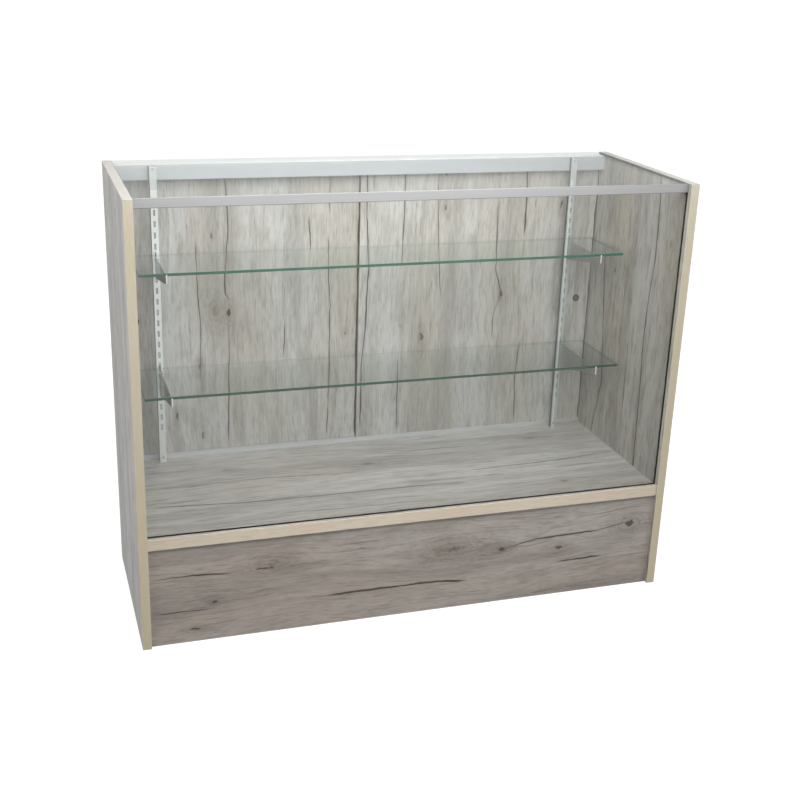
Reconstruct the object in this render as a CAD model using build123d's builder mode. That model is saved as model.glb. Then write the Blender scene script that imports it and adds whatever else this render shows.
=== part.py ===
from build123d import *
import os

# Retail display showcase: a knock-down case of faced board with a glass front and top,
# two glass shelves on slotted uprights, and a back of two sliding doors.
# Millimetres. The origin is on the floor under the middle of the case,
# +X to the right seen from the customer's side, the front faces -Y, +Z up.

# Case and boards
case_width = 1219.0
case_depth = 445.0
case_height = 965.0
side_board = 19.0
deck_board = 25.0
kick_board = 19.0
stretcher_board = 19.0
band = 1.0
deck_top = 256.0
deck_setback = 4.0
kick_setback = 10.0
stretcher_height = 80.0
stretcher_setback = 2.0

# Front and top glass
glass = 6.0
glass_seam = 0.5
front_glass_setback = 14.0
glass_groove = 6.0
vinyl = 0.6
vinyl_play = 0.1
glass_end_play = 0.5
top_glass_play = 0.8
tape = 0.6

# Top rails
rail_wall = 1.6
rail_round = 0.5
rail_end_play = 0.5
front_rail_height = 19.5
front_rail_depth = 20.0
rear_rail_height = 33.0
rear_rail_depth = 31.0
upper_channel_depth = 20.0

# Sliding doors and lower track
track_wall = 0.9
track_groove = 5.6
track_base = 2.0
track_height = 10.0
door = 4.8
door_round = 0.5
door_overlap = 47.0
door_end_gap = 1.0
door_ride_gap = 0.3
door_lift_room = 9.0
pull_inset = 37.0
pull_rise = 341.0
pull_diameter = 18.0
pull_flange = 22.0
pull_flange_height = 0.6
pull_wall = 1.5
pull_floor = 1.6
pull_dish = 12.0
pull_dish_depth = 0.4
pull_play = 0.1

# Slotted uprights and their feet
upright_width = 16.0
upright_depth = 10.0
upright_wall = 1.5
upright_bend = 1.2
upright_inset = 85.0
upright_top_gap = 8.0
upright_screw_drop = 6.0
slot_width = 3.2
slot_height = 12.0
slot_round = 0.3
slot_pitch = 25.4
slot_rail_gap = 30.0
first_slot_rise = 85.0
foot_width = 11.0
foot_height = 20.0
foot_depth = 14.0
foot_wall = 1.5
foot_screw_rise = 13.0
foot_screw_inset = 4.0

# Shelves and brackets, with one value for each level
levels = ("upper", "lower")
hook_slot = {"upper": 16, "lower": 5}
rest_rise = {"upper": 8.0, "lower": 19.5}
shelf_depth = {"upper": 175.0, "lower": 200.0}
root_drop = {"upper": 50.0, "lower": 62.0}
shelf_side_gap = 26.5
shelf_glass = 6.0
shelf_play = 0.7
seat_gap = 0.25
bracket_plate = 2.5
bracket_stop = 3.5
bracket_stop_height = 12.0
bracket_nose = 15.0
bracket_nose_round = 4.0
lip = 2.5
lip_height = 5.0
hook_neck = 6.0
hook_tab = 3.0
hook_drop = 5.5
hook_play = 0.2
cushion = 1.2
cushion_width = 7.0
cushion_length = 16.0
cushion_skirt = 3.5
cushion_inset = 14.0
cushion_play = 0.1

# Cam fittings and dowels
cam_diameter = 15.0
cam_inset = 24.0
cam_cover = 4.5
cam_cross = 7.0
cam_cross_width = 1.4
cam_cross_depth = 2.0
cam_pocket = 7.2
cam_pocket_past = 2.2
bolt_hole = 8.0
bolt_shaft = 5.0
bolt_thread = 6.0
bolt_thread_length = 11.0
bolt_head = 6.4
bolt_head_length = 3.0
bolt_neck = 3.6
dowel_diameter = 8.0
dowel_in_side = 10.0
dowel_in_board = 20.0
dowel_chamfer = 1.0
deck_cam_margin = 56.0
deck_dowel_margin = 88.0
kick_cam_margin = 50.0
stretcher_dowel_margin = 14.0

# Screws and rail brackets
fastener_play = 0.05
screw_shank = 3.0
screw_head = 5.6
screw_head_height = 1.8
screw_head_round = 1.0
screw_recess = 3.0
screw_recess_width = 0.7
screw_recess_depth = 0.8
board_screw_bite = 12.0
track_screw_head = 5.0
track_screw_count = 4
track_screw_margin = 60.0
angle_wall = 1.6
angle_reach = 24.0
angle_play = 0.4
front_angle_drop = 10.0
rear_angle_rise = 20.0

# Places worked out from the sizes above
front = -case_depth / 2
rear = case_depth / 2
inner = case_width / 2 - side_board
deck_under = deck_top - deck_board
deck_front = front + deck_setback
kick_front = front + kick_setback
kick_rear = kick_front + kick_board
stretcher_rear = rear - stretcher_setback
stretcher_front = stretcher_rear - stretcher_board

groove_width = glass + 2 * vinyl + 2 * vinyl_play
glass_middle = front + front_glass_setback + glass / 2
groove_front = glass_middle - groove_width / 2
groove_rear = glass_middle + groove_width / 2
groove_floor = deck_top - glass_groove
top_glass_under = case_height - glass
rail_top = top_glass_under - tape
rail_ceiling = rail_top - rail_wall
glass_top = rail_ceiling - vinyl - 2 * vinyl_play
glass_half = inner + glass_groove - vinyl - glass_end_play

rail_half = inner - rail_end_play
front_rail_front = groove_front - rail_wall
front_rail_rear = front_rail_front + front_rail_depth
front_rail_under = case_height - front_rail_height
header_front = rear - rear_rail_depth
header_under = rail_top - rear_rail_height

track_front = rear - 3 * track_wall - 2 * track_groove
front_groove = track_front + track_wall + track_groove / 2
rear_groove = front_groove + track_wall + track_groove
track_floor = deck_top + track_base
channel_under = rail_ceiling - upper_channel_depth
header_back_wall = track_front + track_wall - rail_wall
door_width = inner + door_overlap / 2 - door_end_gap
door_bottom = track_floor + door_ride_gap
door_top = rail_ceiling - door_lift_room
door_x = inner - door_end_gap - door_width / 2
pull_x = inner - pull_inset
pull_z = deck_top + pull_rise

upright_front = header_front - upright_depth
upright_x = inner - upright_inset
upright_top = case_height - upright_top_gap
upright_screw_z = upright_top - upright_screw_drop
slot_room = header_under - slot_rail_gap - deck_top - first_slot_rise - slot_height
slot_count = int(slot_room / slot_pitch) + 1
foot_screw_z = deck_top + foot_screw_rise
foot_screw_y = upright_front + upright_wall + foot_depth - foot_screw_inset
shelf_rear = upright_front - bracket_stop - shelf_play
shelf_length = 2 * (inner - shelf_side_gap)

front_angle_y = (groove_rear + front_rail_rear) / 2
front_angle_width = front_rail_rear - groove_rear - 2 * rail_wall - 2 * angle_play
front_angle_screw_z = rail_ceiling - (angle_wall + front_angle_drop) / 2
rear_angle_y = (header_front + rail_wall + header_back_wall) / 2
rear_angle_width = header_back_wall - header_front - rail_wall - 2 * angle_play
rear_angle_floor = header_under + rail_wall
rear_angle_screw_z = rear_angle_floor + rear_angle_rise / 2
angle_screw_x = inner - angle_reach / 2 - angle_wall
hole_radius = screw_shank / 2 + fastener_play

# Where each board meets the side panels: Y and Z of its cam bolts and its dowels
deck_joint_z = deck_under + deck_board / 2
kick_joint_y = kick_front + kick_board / 2
stretcher_joint_y = stretcher_front + stretcher_board / 2
stretcher_joint_z = deck_under - stretcher_height / 2
stretcher_dowel_step = stretcher_height / 2 - stretcher_dowel_margin
deck_bolts = [(y, deck_joint_z) for y in (deck_front + deck_cam_margin, 0, rear - deck_cam_margin)]
deck_dowels = [(y, deck_joint_z) for y in (deck_front + deck_dowel_margin, rear - deck_dowel_margin)]
kick_bolts = [(kick_joint_y, z) for z in (kick_cam_margin, deck_under - kick_cam_margin)]
kick_dowels = [(kick_joint_y, deck_under / 2)]
stretcher_bolts = [(stretcher_joint_y, stretcher_joint_z)]
stretcher_dowels = [
    (stretcher_joint_y, stretcher_joint_z - stretcher_dowel_step),
    (stretcher_joint_y, stretcher_joint_z + stretcher_dowel_step),
]
all_bolts = deck_bolts + kick_bolts + stretcher_bolts
all_dowels = deck_dowels + kick_dowels + stretcher_dowels
track_screw_step = 2 * (inner - track_screw_margin) / (track_screw_count - 1)
track_screws_x = [-inner + track_screw_margin + n * track_screw_step for n in range(track_screw_count)]
sides = ((-1, "left"), (1, "right"))


def slot_bottom(index):
    """Height of the lower edge of one slot, counted up from the lowest."""
    return deck_top + first_slot_rise + index * slot_pitch


def rest_height(level):
    """Height of the edge of a bracket that carries the cushions."""
    return slot_bottom(hook_slot[level]) + rest_rise[level]


def nose_front(level):
    """Y of the front face of a bracket's lip."""
    return shelf_rear - shelf_depth[level] - shelf_play - lip


def joint_bores(bolts, dowels, cams, thickness):
    """Everything bored out of a board at its two ends: bolt holes, dowel holes, cam seats."""
    with BuildPart() as bores:
        for side, _ in sides:
            end = Plane.YZ.offset(side * inner)
            with BuildSketch(end):
                with Locations(*bolts):
                    Circle(bolt_hole / 2)
            extrude(amount=-side * cam_inset)
            with BuildSketch(end):
                with Locations(*dowels):
                    Circle(dowel_diameter / 2 + fastener_play)
            extrude(amount=-side * (dowel_in_board + fastener_play))
        for seat in cams:
            with BuildSketch(seat):
                Circle(cam_diameter / 2)
            extrude(amount=thickness / 2 + cam_cover)
    return bores.part


def joint_planes(spots):
    """Planes on the side panels' inner faces at (Y, Z) spots, facing into the case."""
    return [
        Plane(origin=(side * inner, y, z), z_dir=(-side, 0, 0))
        for side, _ in sides
        for y, z in spots
    ]


def cam_planes(spots, into):
    """Planes at (Y, Z) spots on a board's face: X towards the side panel, Z into the board."""
    return [
        Plane(origin=(side * (inner - cam_inset), y, z), x_dir=(side, 0, 0), z_dir=into)
        for side, _ in sides
        for y, z in spots
    ]


def cam_lock(thickness):
    """A round cam for one board thickness, with its driver cross and its pocket for the bolt."""
    with BuildPart() as lock:
        with BuildSketch():
            Circle(cam_diameter / 2 - fastener_play)
        extrude(amount=thickness / 2 + cam_cover)
        with BuildSketch():
            Rectangle(cam_cross, cam_cross_width)
            Rectangle(cam_cross_width, cam_cross)
        extrude(amount=cam_cross_depth, mode=Mode.SUBTRACT)
        with BuildSketch(Plane.YZ.offset(-cam_pocket_past)):
            with Locations((0, thickness / 2)):
                Circle(cam_pocket / 2)
        extrude(amount=cam_diameter, mode=Mode.SUBTRACT)
    return lock.part


def pan_screw(length):
    """A pan-head screw: its head stands on the XY plane and its shank goes down."""
    with BuildPart() as screw:
        with BuildSketch():
            Circle(screw_shank / 2)
        extrude(amount=-length)
        with BuildSketch():
            Circle(screw_head / 2)
        extrude(amount=screw_head_height)
        fillet(screw.edges().group_by(Axis.Z)[-1], screw_head_round)
        with BuildSketch(Plane.XY.offset(screw_head_height)):
            Rectangle(screw_recess, screw_recess_width)
            Rectangle(screw_recess_width, screw_recess)
        extrude(amount=-screw_recess_depth, mode=Mode.SUBTRACT)
    return screw.part


def flat_screw(length):
    """A countersunk screw with its head flush with the XY plane."""
    cone = (track_screw_head - screw_shank) / 2
    with BuildPart() as screw:
        with BuildSketch(Plane.XZ):
            with BuildLine():
                Polyline(
                    (0, 0),
                    (0, -length),
                    (screw_shank / 2, -length),
                    (screw_shank / 2, -cone),
                    (track_screw_head / 2, 0),
                    close=True,
                )
            make_face()
        revolve(axis=Axis.Z)
        with BuildSketch():
            Rectangle(screw_recess, screw_recess_width)
            Rectangle(screw_recess_width, screw_recess)
        extrude(amount=-screw_recess_depth, mode=Mode.SUBTRACT)
    return screw.part


os.makedirs("parts", exist_ok=True)

# Side panels: faced board standing on the floor, grooved inside for the front glass
for side, name in sides:
    face = Plane.YZ.offset(side * inner)
    with BuildPart() as side_panel:
        with BuildSketch(face):
            with Locations((0, (case_height - band) / 2)):
                Rectangle(case_depth - 2 * band, case_height - band)
        extrude(amount=side * side_board)
        with BuildSketch(face):
            with Locations((glass_middle, (groove_floor + rail_ceiling) / 2)):
                Rectangle(groove_width, rail_ceiling - groove_floor)
        extrude(amount=side * glass_groove, mode=Mode.SUBTRACT)
        with BuildSketch(face):
            with Locations(*all_bolts):
                Circle(bolt_thread / 2 + fastener_play)
        extrude(amount=side * (bolt_thread_length + fastener_play), mode=Mode.SUBTRACT)
        with BuildSketch(face):
            with Locations(*all_dowels):
                Circle(dowel_diameter / 2 + fastener_play)
        extrude(amount=side * (dowel_in_side + fastener_play), mode=Mode.SUBTRACT)
        with BuildSketch(face):
            with Locations((front_angle_y, front_angle_screw_z), (rear_angle_y, rear_angle_screw_z)):
                Circle(hole_radius)
        extrude(amount=side * (board_screw_bite + fastener_play), mode=Mode.SUBTRACT)
    side_panel.part.label = f"{name}_side_panel"
    export_step(side_panel.part, f"parts/{name}_side_panel.step")

# Edge bands on the front, top and rear edges of each side panel
for side, name in sides:
    middle = side * (inner + side_board / 2)
    with BuildPart() as front_band:
        with BuildSketch():
            with Locations((middle, front + band / 2)):
                Rectangle(side_board, band)
        extrude(amount=case_height)
    front_band.part.label = f"{name}_front_band"
    export_step(front_band.part, f"parts/{name}_front_band.step")

    with BuildPart() as rear_band:
        with BuildSketch():
            with Locations((middle, rear - band / 2)):
                Rectangle(side_board, band)
        extrude(amount=case_height)
    rear_band.part.label = f"{name}_rear_band"
    export_step(rear_band.part, f"parts/{name}_rear_band.step")

    with BuildPart() as top_band:
        with BuildSketch(Plane.XY.offset(case_height - band)):
            with Locations((middle, 0)):
                Rectangle(side_board, case_depth - 2 * band)
        extrude(amount=band)
    top_band.part.label = f"{name}_top_band"
    export_step(top_band.part, f"parts/{name}_top_band.step")

# Cam seats: under the deck, behind the kick panel and in front of the stretcher
deck_cams = cam_planes([(y, deck_under) for y, _ in deck_bolts], (0, 0, 1))
kick_cams = cam_planes([(kick_rear, z) for _, z in kick_bolts], (0, -1, 0))
stretcher_cams = cam_planes([(stretcher_front, z) for _, z in stretcher_bolts], (0, 1, 0))

# Deck: the display floor, grooved for the front glass and bored below for its cams
deck_depth = rear - deck_front - band
deck_bores = joint_bores(deck_bolts, deck_dowels, deck_cams, deck_board)
with BuildPart() as deck_panel:
    with BuildSketch(Plane.XY.offset(deck_under)):
        with Locations((0, rear - deck_depth / 2)):
            Rectangle(2 * inner, deck_depth)
    extrude(amount=deck_board)
    with BuildSketch(Plane.XY.offset(deck_top)):
        with Locations((0, glass_middle)):
            Rectangle(2 * inner, groove_width)
    extrude(amount=-glass_groove, mode=Mode.SUBTRACT)
    add(deck_bores, mode=Mode.SUBTRACT)
    with BuildSketch(Plane.XY.offset(deck_top)):
        with Locations(*[(x, front_groove) for x in track_screws_x]):
            Circle(hole_radius)
        with Locations((-upright_x, foot_screw_y), (upright_x, foot_screw_y)):
            Circle(hole_radius)
    extrude(amount=-(board_screw_bite + fastener_play), mode=Mode.SUBTRACT)
deck_panel.part.label = "deck_panel"
export_step(deck_panel.part, "parts/deck_panel.step")

with BuildPart() as deck_band:
    with BuildSketch(Plane.XY.offset(deck_under)):
        with Locations((0, deck_front + band / 2)):
            Rectangle(2 * inner, band)
    extrude(amount=deck_board)
deck_band.part.label = "deck_band"
export_step(deck_band.part, "parts/deck_band.step")

# Kick panel: the recessed board between the deck and the floor
kick_bores = joint_bores(kick_bolts, kick_dowels, kick_cams, kick_board)
with BuildPart() as kick_panel:
    with BuildSketch():
        with Locations((0, kick_joint_y)):
            Rectangle(2 * inner, kick_board)
    extrude(amount=deck_under)
    add(kick_bores, mode=Mode.SUBTRACT)
kick_panel.part.label = "kick_panel"
export_step(kick_panel.part, "parts/kick_panel.step")

# Rear stretcher: ties the two ends together under the rear edge of the deck
stretcher_bores = joint_bores(stretcher_bolts, stretcher_dowels, stretcher_cams, stretcher_board)
with BuildPart() as rear_stretcher:
    with BuildSketch(Plane.XY.offset(deck_under - stretcher_height)):
        with Locations((0, stretcher_joint_y)):
            Rectangle(2 * inner, stretcher_board)
    extrude(amount=stretcher_height)
    add(stretcher_bores, mode=Mode.SUBTRACT)
rear_stretcher.part.label = "rear_stretcher"
export_step(rear_stretcher.part, "parts/rear_stretcher.step")

# Cam locks: turned with a driver to draw each bolt head in
deck_lock = cam_lock(deck_board)
kick_lock = cam_lock(kick_board)
stretcher_lock = cam_lock(stretcher_board)
with BuildPart() as cam_locks:
    with Locations(*deck_cams):
        add(deck_lock)
    with Locations(*kick_cams):
        add(kick_lock)
    with Locations(*stretcher_cams):
        add(stretcher_lock)
cam_locks.part.label = "cam_locks"
export_step(cam_locks.part, "parts/cam_locks.step")

# Cam bolts: screwed into the side panels, with a waisted head inside each cam
with BuildPart() as cam_bolt:
    with BuildSketch(Plane.XZ):
        with BuildLine():
            Polyline(
                (0, -bolt_thread_length),
                (bolt_thread / 2, -bolt_thread_length),
                (bolt_thread / 2, 0),
                (bolt_shaft / 2, 0),
                (bolt_shaft / 2, cam_inset - cam_diameter / 2),
                (bolt_neck / 2, cam_inset - cam_diameter / 2),
                (bolt_neck / 2, cam_inset - bolt_head_length / 2),
                (bolt_head / 2, cam_inset - bolt_head_length / 2),
                (bolt_head / 2, cam_inset + bolt_head_length / 2),
                (0, cam_inset + bolt_head_length / 2),
                close=True,
            )
        make_face()
    revolve(axis=Axis.Z)
with BuildPart() as cam_bolts:
    with Locations(*joint_planes(all_bolts)):
        add(cam_bolt.part)
cam_bolts.part.label = "cam_bolts"
export_step(cam_bolts.part, "parts/cam_bolts.step")

# Wooden dowels: half in each side panel, half in the board it carries
with BuildPart() as dowel:
    with BuildSketch(Plane.XY.offset(-dowel_in_side)):
        Circle(dowel_diameter / 2)
    extrude(amount=dowel_in_side + dowel_in_board)
    chamfer(dowel.edges().filter_by(GeomType.CIRCLE), dowel_chamfer)
with BuildPart() as wood_dowels:
    with Locations(*joint_planes(all_dowels)):
        add(dowel.part)
wood_dowels.part.label = "wood_dowels"
export_step(wood_dowels.part, "parts/wood_dowels.step")

# Front glass: stands in the deck's groove, between the side grooves and under the rail
with BuildPart() as front_glass:
    with BuildSketch(Plane.XY.offset(groove_floor + vinyl)):
        with Locations((0, glass_middle)):
            Rectangle(2 * glass_half, glass)
    extrude(amount=glass_top - groove_floor - vinyl)
    chamfer(front_glass.edges(), glass_seam)
front_glass.part.label = "front_glass"
export_step(front_glass.part, "parts/front_glass.step")

# Glass channels: dark vinyl U sections round the four edges of the front glass
with BuildPart() as glass_channel_bottom:
    with BuildSketch(Plane.XY.offset(groove_floor)):
        with Locations((0, glass_middle)):
            Rectangle(2 * inner, glass + 2 * vinyl)
    extrude(amount=glass_groove)
    with BuildSketch(Plane.XY.offset(groove_floor + vinyl)):
        with Locations((0, glass_middle)):
            Rectangle(2 * inner, glass)
    extrude(amount=glass_groove, mode=Mode.SUBTRACT)
glass_channel_bottom.part.label = "glass_channel_bottom"
export_step(glass_channel_bottom.part, "parts/glass_channel_bottom.step")

with BuildPart() as glass_channel_top:
    with BuildSketch(Plane.XY.offset(front_rail_under)):
        with Locations((0, glass_middle)):
            Rectangle(2 * rail_half, glass + 2 * vinyl)
    extrude(amount=glass_top + vinyl - front_rail_under)
    with BuildSketch(Plane.XY.offset(front_rail_under)):
        with Locations((0, glass_middle)):
            Rectangle(2 * rail_half, glass)
    extrude(amount=glass_top - front_rail_under, mode=Mode.SUBTRACT)
glass_channel_top.part.label = "glass_channel_top"
export_step(glass_channel_top.part, "parts/glass_channel_top.step")

for side, name in sides:
    with BuildPart() as glass_channel:
        with BuildSketch(Plane.XY.offset(groove_floor)):
            with Locations((side * (inner + glass_groove / 2), glass_middle)):
                Rectangle(glass_groove, glass + 2 * vinyl)
            with Locations((side * (inner + glass_groove / 2 - vinyl), glass_middle)):
                Rectangle(glass_groove, glass, mode=Mode.SUBTRACT)
        extrude(amount=glass_top - groove_floor)
    glass_channel.part.label = f"glass_channel_{name}"
    export_step(glass_channel.part, f"parts/glass_channel_{name}.step")

# Front rail: one extrusion that caps the front glass, carries the front edge of the
# top glass behind a low lip, and has a channel at the back for its end angles
with BuildPart() as front_rail:
    with BuildSketch(Plane.YZ.offset(-rail_half)) as front_rail_section:
        with BuildLine():
            Polyline(
                (front_rail_front, front_rail_under),
                (front_rail_front, case_height),
                (groove_front, case_height),
                (groove_front, rail_top),
                (front_rail_rear, rail_top),
                (front_rail_rear, front_rail_under),
                (front_rail_rear - rail_wall, front_rail_under),
                (front_rail_rear - rail_wall, rail_ceiling),
                (groove_rear + rail_wall, rail_ceiling),
                (groove_rear + rail_wall, front_rail_under),
                (groove_rear, front_rail_under),
                (groove_rear, rail_ceiling),
                (groove_front, rail_ceiling),
                (groove_front, front_rail_under),
                close=True,
            )
        make_face()
        fillet(front_rail_section.vertices().group_by(Axis.X)[0], rail_round)
    extrude(amount=2 * rail_half)
    with BuildSketch(Plane.XY.offset(rail_top)):
        with Locations((-angle_screw_x, front_angle_y), (angle_screw_x, front_angle_y)):
            Circle(hole_radius)
    extrude(amount=-rail_wall, mode=Mode.SUBTRACT)
front_rail.part.label = "front_rail"
export_step(front_rail.part, "parts/front_rail.step")

# Rear rail: a box section under the rear of the top glass, with the two upper door
# channels open downwards behind it
with BuildPart() as rear_rail:
    with BuildSketch(Plane.YZ.offset(-rail_half)) as rear_rail_section:
        with BuildLine():
            Polyline(
                (header_front, header_under),
                (header_front, rail_top),
                (rear, rail_top),
                (rear, channel_under),
                (rear - track_wall, channel_under),
                (rear - track_wall, rail_ceiling),
                (rear - track_wall - track_groove, rail_ceiling),
                (rear - track_wall - track_groove, channel_under),
                (rear - 2 * track_wall - track_groove, channel_under),
                (rear - 2 * track_wall - track_groove, rail_ceiling),
                (track_front + track_wall, rail_ceiling),
                (track_front + track_wall, header_under),
                close=True,
            )
        make_face()
        fillet(rear_rail_section.vertices().group_by(Axis.X)[0], rail_round)
        with Locations((rear_angle_y, (rear_angle_floor + rail_ceiling) / 2)):
            Rectangle(
                header_back_wall - header_front - rail_wall,
                rail_ceiling - rear_angle_floor,
                mode=Mode.SUBTRACT,
            )
    extrude(amount=2 * rail_half)
    with BuildSketch(Plane.XY.offset(header_under)):
        with Locations((-angle_screw_x, rear_angle_y), (angle_screw_x, rear_angle_y)):
            Circle(hole_radius)
    extrude(amount=rail_wall, mode=Mode.SUBTRACT)
    with BuildSketch(Plane.XZ.offset(-header_front)):
        with Locations((-upright_x, upright_screw_z), (upright_x, upright_screw_z)):
            Circle(hole_radius)
    extrude(amount=-rail_wall, mode=Mode.SUBTRACT)
rear_rail.part.label = "rear_rail"
export_step(rear_rail.part, "parts/rear_rail.step")

# Rail angles: small steel L brackets screwed to the side panels inside each rail's ends
with BuildPart() as front_rail_brackets:
    for side, _ in sides:
        with BuildSketch(Plane.XZ.offset(-front_angle_y)):
            with BuildLine():
                Polyline(
                    (side * inner, rail_ceiling),
                    (side * (inner - angle_reach), rail_ceiling),
                    (side * (inner - angle_reach), rail_ceiling - angle_wall),
                    (side * (inner - angle_wall), rail_ceiling - angle_wall),
                    (side * (inner - angle_wall), rail_ceiling - front_angle_drop),
                    (side * inner, rail_ceiling - front_angle_drop),
                    close=True,
                )
            make_face()
        extrude(amount=front_angle_width / 2, both=True)
    with BuildSketch(Plane.XY.offset(rail_ceiling)):
        with Locations((-angle_screw_x, front_angle_y), (angle_screw_x, front_angle_y)):
            Circle(hole_radius)
    extrude(amount=-angle_wall, mode=Mode.SUBTRACT)
    with BuildSketch(Plane.YZ.offset(-inner)):
        with Locations((front_angle_y, front_angle_screw_z)):
            Circle(hole_radius)
    extrude(amount=2 * inner, mode=Mode.SUBTRACT)
front_rail_brackets.part.label = "front_rail_brackets"
export_step(front_rail_brackets.part, "parts/front_rail_brackets.step")

with BuildPart() as rear_rail_brackets:
    for side, _ in sides:
        with BuildSketch(Plane.XZ.offset(-rear_angle_y)):
            with BuildLine():
                Polyline(
                    (side * inner, rear_angle_floor),
                    (side * (inner - angle_reach), rear_angle_floor),
                    (side * (inner - angle_reach), rear_angle_floor + angle_wall),
                    (side * (inner - angle_wall), rear_angle_floor + angle_wall),
                    (side * (inner - angle_wall), rear_angle_floor + rear_angle_rise),
                    (side * inner, rear_angle_floor + rear_angle_rise),
                    close=True,
                )
            make_face()
        extrude(amount=rear_angle_width / 2, both=True)
    with BuildSketch(Plane.XY.offset(rear_angle_floor)):
        with Locations((-angle_screw_x, rear_angle_y), (angle_screw_x, rear_angle_y)):
            Circle(hole_radius)
    extrude(amount=angle_wall, mode=Mode.SUBTRACT)
    with BuildSketch(Plane.YZ.offset(-inner)):
        with Locations((rear_angle_y, rear_angle_screw_z)):
            Circle(hole_radius)
    extrude(amount=2 * inner, mode=Mode.SUBTRACT)
rear_rail_brackets.part.label = "rear_rail_brackets"
export_step(rear_rail_brackets.part, "parts/rear_rail_brackets.step")

# Rail screws: through each angle into the side panel, and through angle and rail together
board_screw = pan_screw(angle_wall + board_screw_bite)
rail_screw = pan_screw(rail_wall + angle_wall)
with BuildPart() as rail_screws:
    for side, _ in sides:
        inward = (-side, 0, 0)
        angle_face = side * (inner - angle_wall)
        with Locations(
            Plane(origin=(angle_face, front_angle_y, front_angle_screw_z), z_dir=inward),
            Plane(origin=(angle_face, rear_angle_y, rear_angle_screw_z), z_dir=inward),
        ):
            add(board_screw)
        screw_x = side * angle_screw_x
        with Locations(
            Plane(origin=(screw_x, front_angle_y, rail_ceiling - angle_wall), z_dir=(0, 0, -1)),
            Plane(origin=(screw_x, rear_angle_y, header_under), z_dir=(0, 0, -1)),
        ):
            add(rail_screw)
rail_screws.part.label = "rail_screws"
export_step(rail_screws.part, "parts/rail_screws.step")

# Glazing tapes on the two rails, and the top glass lying on them between the ends
top_glass_front = groove_front + top_glass_play
top_glass_rear = rear - top_glass_play
with BuildPart() as front_glazing_tape:
    with BuildSketch(Plane.XY.offset(rail_top)):
        with Locations((0, (top_glass_front + front_rail_rear) / 2)):
            Rectangle(2 * rail_half, front_rail_rear - top_glass_front)
    extrude(amount=tape)
front_glazing_tape.part.label = "front_glazing_tape"
export_step(front_glazing_tape.part, "parts/front_glazing_tape.step")

with BuildPart() as rear_glazing_tape:
    with BuildSketch(Plane.XY.offset(rail_top)):
        with Locations((0, (header_front + top_glass_rear) / 2)):
            Rectangle(2 * rail_half, top_glass_rear - header_front)
    extrude(amount=tape)
rear_glazing_tape.part.label = "rear_glazing_tape"
export_step(rear_glazing_tape.part, "parts/rear_glazing_tape.step")

with BuildPart() as top_glass:
    with BuildSketch(Plane.XY.offset(top_glass_under)):
        with Locations((0, (top_glass_front + top_glass_rear) / 2)):
            Rectangle(2 * (inner - top_glass_play), top_glass_rear - top_glass_front)
    extrude(amount=glass)
    chamfer(top_glass.edges(), glass_seam)
top_glass.part.label = "top_glass"
export_step(top_glass.part, "parts/top_glass.step")

# Lower track: a twin-groove aluminium extrusion screwed down along the deck's rear edge
with BuildPart() as lower_track:
    with BuildSketch(Plane.YZ.offset(-rail_half)):
        with Locations(((track_front + rear) / 2, deck_top + track_height / 2)):
            Rectangle(rear - track_front, track_height)
        with Locations((front_groove, track_floor), (rear_groove, track_floor)):
            Rectangle(track_groove, track_height, align=(Align.CENTER, Align.MIN), mode=Mode.SUBTRACT)
    extrude(amount=2 * rail_half)
    with Locations([(x, front_groove, track_floor) for x in track_screws_x]):
        CounterSinkHole(
            hole_radius,
            track_screw_head / 2 + fastener_play,
            depth=track_base,
            counter_sink_angle=90,
        )
lower_track.part.label = "lower_track"
export_step(lower_track.part, "parts/lower_track.step")

track_screw = flat_screw(track_base + board_screw_bite)
with BuildPart() as track_screws:
    with Locations([(x, front_groove, track_floor) for x in track_screws_x]):
        add(track_screw)
track_screws.part.label = "track_screws"
export_step(track_screws.part, "parts/track_screws.step")

# Slotted uprights: folded zinc-plated channels from the deck to the rear rail
slots_middle = (slot_bottom(0) + slot_bottom(slot_count - 1) + slot_height) / 2
for side, name in sides:
    with BuildPart() as upright:
        with BuildSketch(Plane.XY.offset(deck_top)):
            with Locations((side * upright_x, upright_front)):
                Rectangle(upright_width, upright_depth, align=(Align.CENTER, Align.MIN))
            with Locations((side * upright_x, upright_front + upright_wall)):
                Rectangle(
                    upright_width - 2 * upright_wall,
                    upright_depth,
                    align=(Align.CENTER, Align.MIN),
                    mode=Mode.SUBTRACT,
                )
        extrude(amount=upright_top - deck_top)
        fillet(upright.edges().filter_by(Axis.Z).group_by(Axis.Y)[0], upright_bend)
        with BuildSketch(Plane.XZ.offset(-upright_front)):
            with Locations((side * upright_x, slots_middle)):
                with GridLocations(slot_pitch, slot_pitch, 1, slot_count):
                    RectangleRounded(slot_width, slot_height, slot_round)
            with Locations((side * upright_x, upright_screw_z), (side * upright_x, foot_screw_z)):
                Circle(hole_radius)
        extrude(amount=-upright_wall, mode=Mode.SUBTRACT)
    upright.part.label = f"{name}_standard"
    export_step(upright.part, f"parts/{name}_standard.step")

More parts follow.
